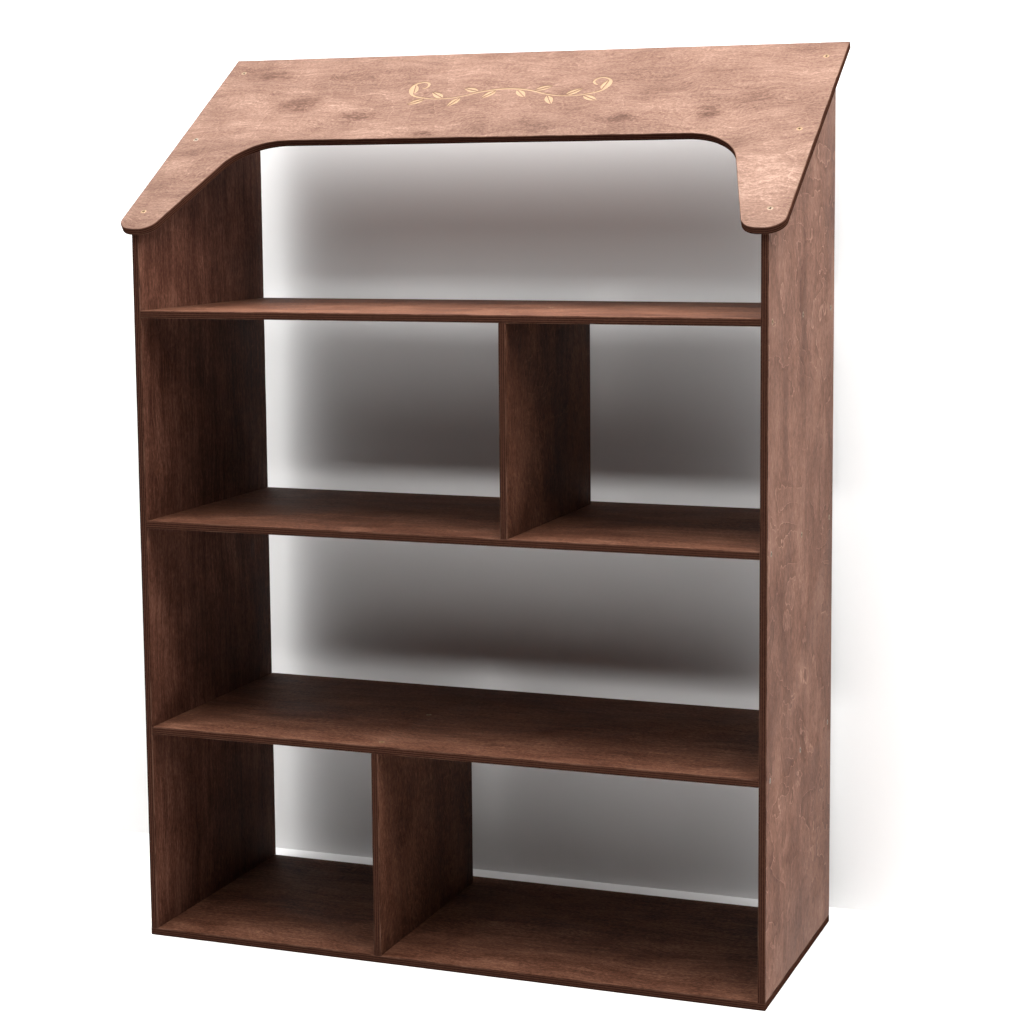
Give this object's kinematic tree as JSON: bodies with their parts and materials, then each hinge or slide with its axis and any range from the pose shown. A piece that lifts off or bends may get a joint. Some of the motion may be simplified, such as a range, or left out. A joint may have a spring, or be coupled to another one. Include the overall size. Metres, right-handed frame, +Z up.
{
  "type": "wooden dollhouse",
  "caption": "Tall open-backed dollhouse shelf of screwed plywood: three storeys of rooms with dividers and an attic under a sloping roof panel with a rounded cut-out.",
  "frame": {"origin": "middle of the base panel's underside, which rests on the floor", "axes": "+Z up, +X to the right seen from the front, -Y towards the front, where the roof slopes down"},
  "size_m": [0.92, 0.3753, 1.2245],
  "materials": {
    "roof_plywood": "walnut-stained birch plywood, satin",
    "upright_plywood": "walnut-stained birch plywood, satin",
    "shelf_plywood": "walnut-stained birch plywood, satin",
    "screw_metal": "yellow zinc plate"
  },
  "bodies": {
    "root": {"base_panel": "shelf_plywood", "base_screw_left_front": "screw_metal", "base_screw_left_middle": "screw_metal", "base_screw_left_rear": "screw_metal", "base_screw_right_front": "screw_metal", "base_screw_right_middle": "screw_metal", "base_screw_right_rear": "screw_metal", "left_side": "upright_plywood", "lower_divider": "upright_plywood", "lower_divider_screw_bottom_front": "screw_metal", "lower_divider_screw_bottom_rear": "screw_metal", "lower_divider_screw_top_front": "screw_metal", "lower_divider_screw_top_rear": "screw_metal", "lower_shelf": "shelf_plywood", "lower_shelf_screw_left_front": "screw_metal", "lower_shelf_screw_left_middle": "screw_metal", "lower_shelf_screw_left_rear": "screw_metal", "lower_shelf_screw_right_front": "screw_metal", "lower_shelf_screw_right_middle": "screw_metal", "lower_shelf_screw_right_rear": "screw_metal", "middle_shelf": "shelf_plywood", "middle_shelf_screw_left_front": "screw_metal", "middle_shelf_screw_left_middle": "screw_metal", "middle_shelf_screw_left_rear": "screw_metal", "middle_shelf_screw_right_front": "screw_metal", "middle_shelf_screw_right_middle": "screw_metal", "middle_shelf_screw_right_rear": "screw_metal", "right_side": "upright_plywood", "roof_panel": "roof_plywood", "roof_screw_left_front": "screw_metal", "roof_screw_left_middle": "screw_metal", "roof_screw_left_rear": "screw_metal", "roof_screw_right_front": "screw_metal", "roof_screw_right_middle": "screw_metal", "roof_screw_right_rear": "screw_metal", "upper_divider": "upright_plywood", "upper_divider_screw_bottom_front": "screw_metal", "upper_divider_screw_bottom_rear": "screw_metal", "upper_divider_screw_top_front": "screw_metal", "upper_divider_screw_top_rear": "screw_metal", "upper_shelf": "shelf_plywood", "upper_shelf_screw_left_front": "screw_metal", "upper_shelf_screw_left_middle": "screw_metal", "upper_shelf_screw_left_rear": "screw_metal", "upper_shelf_screw_right_front": "screw_metal", "upper_shelf_screw_right_middle": "screw_metal", "upper_shelf_screw_right_rear": "screw_metal"}
  },
  "joints": []
}
